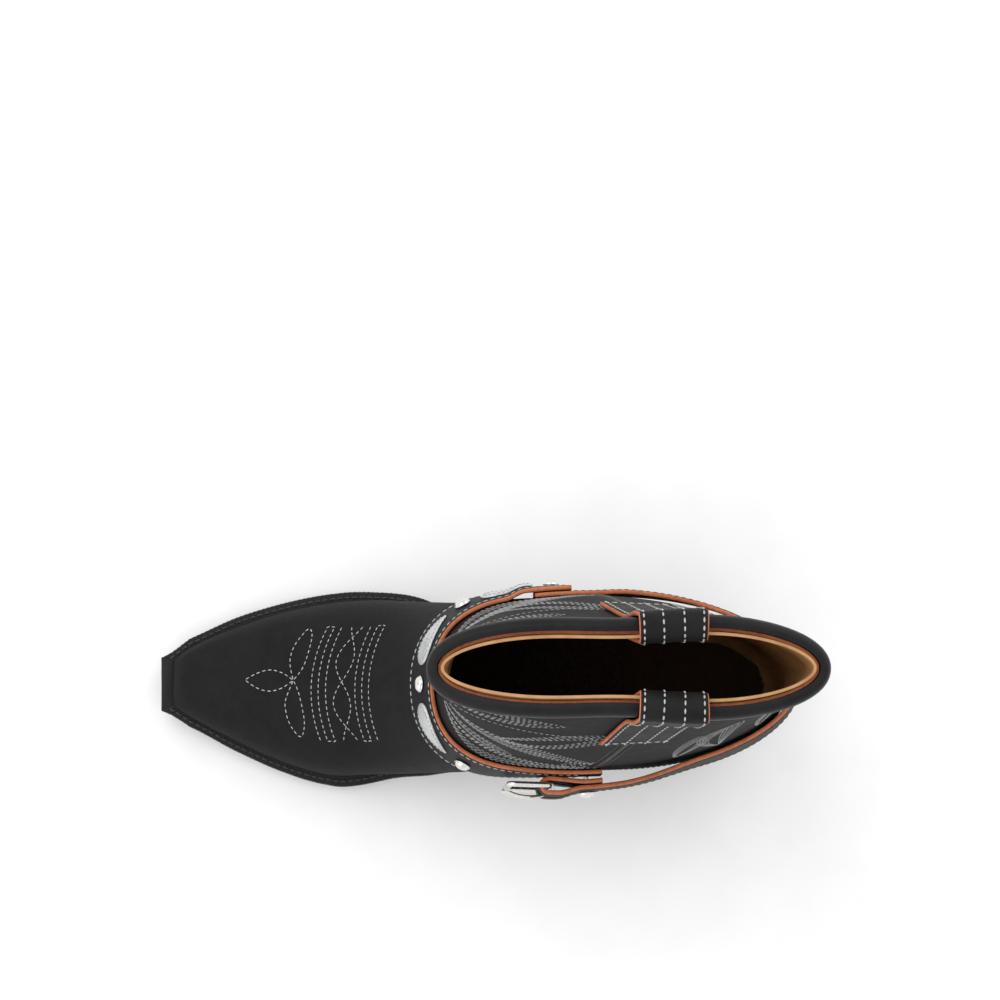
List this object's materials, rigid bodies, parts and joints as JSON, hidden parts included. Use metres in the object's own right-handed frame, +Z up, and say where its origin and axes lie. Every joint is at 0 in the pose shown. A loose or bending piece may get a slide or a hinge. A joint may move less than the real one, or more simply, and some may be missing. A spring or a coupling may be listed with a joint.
{
  "type": "cowboy boot",
  "caption": "Short black cowboy boot with a snipped toe, stacked heel, embroidered shaft, pull straps and a buckled harness strap with domed studs and silver inlays.",
  "frame": {"origin": "on the floor, under the middle of the boot's bounding box", "axes": "+X from toe to heel, +Y to the inner side of the foot, +Z up; the buckle is on the -Y side"},
  "size_m": [0.294, 0.0981, 0.2324],
  "materials": {
    "black_leather": "matte black grained leather, embroidered on the shaft",
    "strap_leather": "black strap leather with terracotta cut edges",
    "edge_leather": "terracotta facing leather",
    "lining_leather": "tan lining leather",
    "silver_leather": "silver metallic leather",
    "nickel": "bright nickel plate",
    "steel": "plain spring steel",
    "sole_leather": "black edge-inked sole leather",
    "stacked_leather": "black edge-inked stacked leather",
    "rubber": "black rubber",
    "board": "leather board",
    "cork": "granulated cork"
  },
  "bodies": {
    "root": {"outsole": "sole_leather", "welt": "sole_leather", "heel_rand": "sole_leather", "cork_filler": "cork", "steel_shank": "steel", "heel_nail_1": "steel", "heel_nail_2": "steel", "heel_nail_3": "steel", "insole": "board", "toe_box": "board", "heel_counter": "board", "heel_pad": "lining_leather", "vamp_lining": "lining_leather", "shaft_lining_front": "lining_leather", "shaft_lining_back": "lining_leather", "heel_cap": "rubber", "heel_lift_1": "stacked_leather", "heel_lift_2": "stacked_leather", "heel_lift_3": "stacked_leather", "heel_lift_4": "stacked_leather", "heel_lift_5": "stacked_leather", "vamp": "black_leather", "counter_cover": "black_leather", "shaft_front": "black_leather", "shaft_back": "black_leather", "side_piping_outer": "black_leather", "side_piping_inner": "black_leather", "collar_binding": "black_leather", "pull_strap_outer": "black_leather", "pull_strap_inner": "black_leather", "collar_facing": "edge_leather", "harness_front_strap": "strap_leather", "harness_rear_strap": "strap_leather", "inlay_front_outer": "silver_leather", "inlay_front_inner": "silver_leather", "inlay_side_inner": "silver_leather", "stud_front": "nickel", "stud_front_outer": "nickel", "stud_front_inner": "nickel", "stud_strap_join": "nickel", "stud_chape": "nickel"},
    "buckle_frame": {"buckle_frame": "nickel"},
    "buckle_prong": {"buckle_prong": "nickel"}
  },
  "joints": [
    {"name": "buckle_frame_swing", "type": "hinge", "parent": "root", "child": "buckle_frame", "pos_m": [0.03273, -0.04337, 0.09332], "axis": [0.0608, 0.0752, 0.9953], "range_deg": [0, 25]},
    {"name": "buckle_prong_swing", "type": "hinge", "parent": "buckle_frame", "child": "buckle_prong", "pos_m": [0.03273, -0.04337, 0.09332], "axis": [0.0608, 0.0752, 0.9953], "range_deg": [0, 95]}
  ]
}
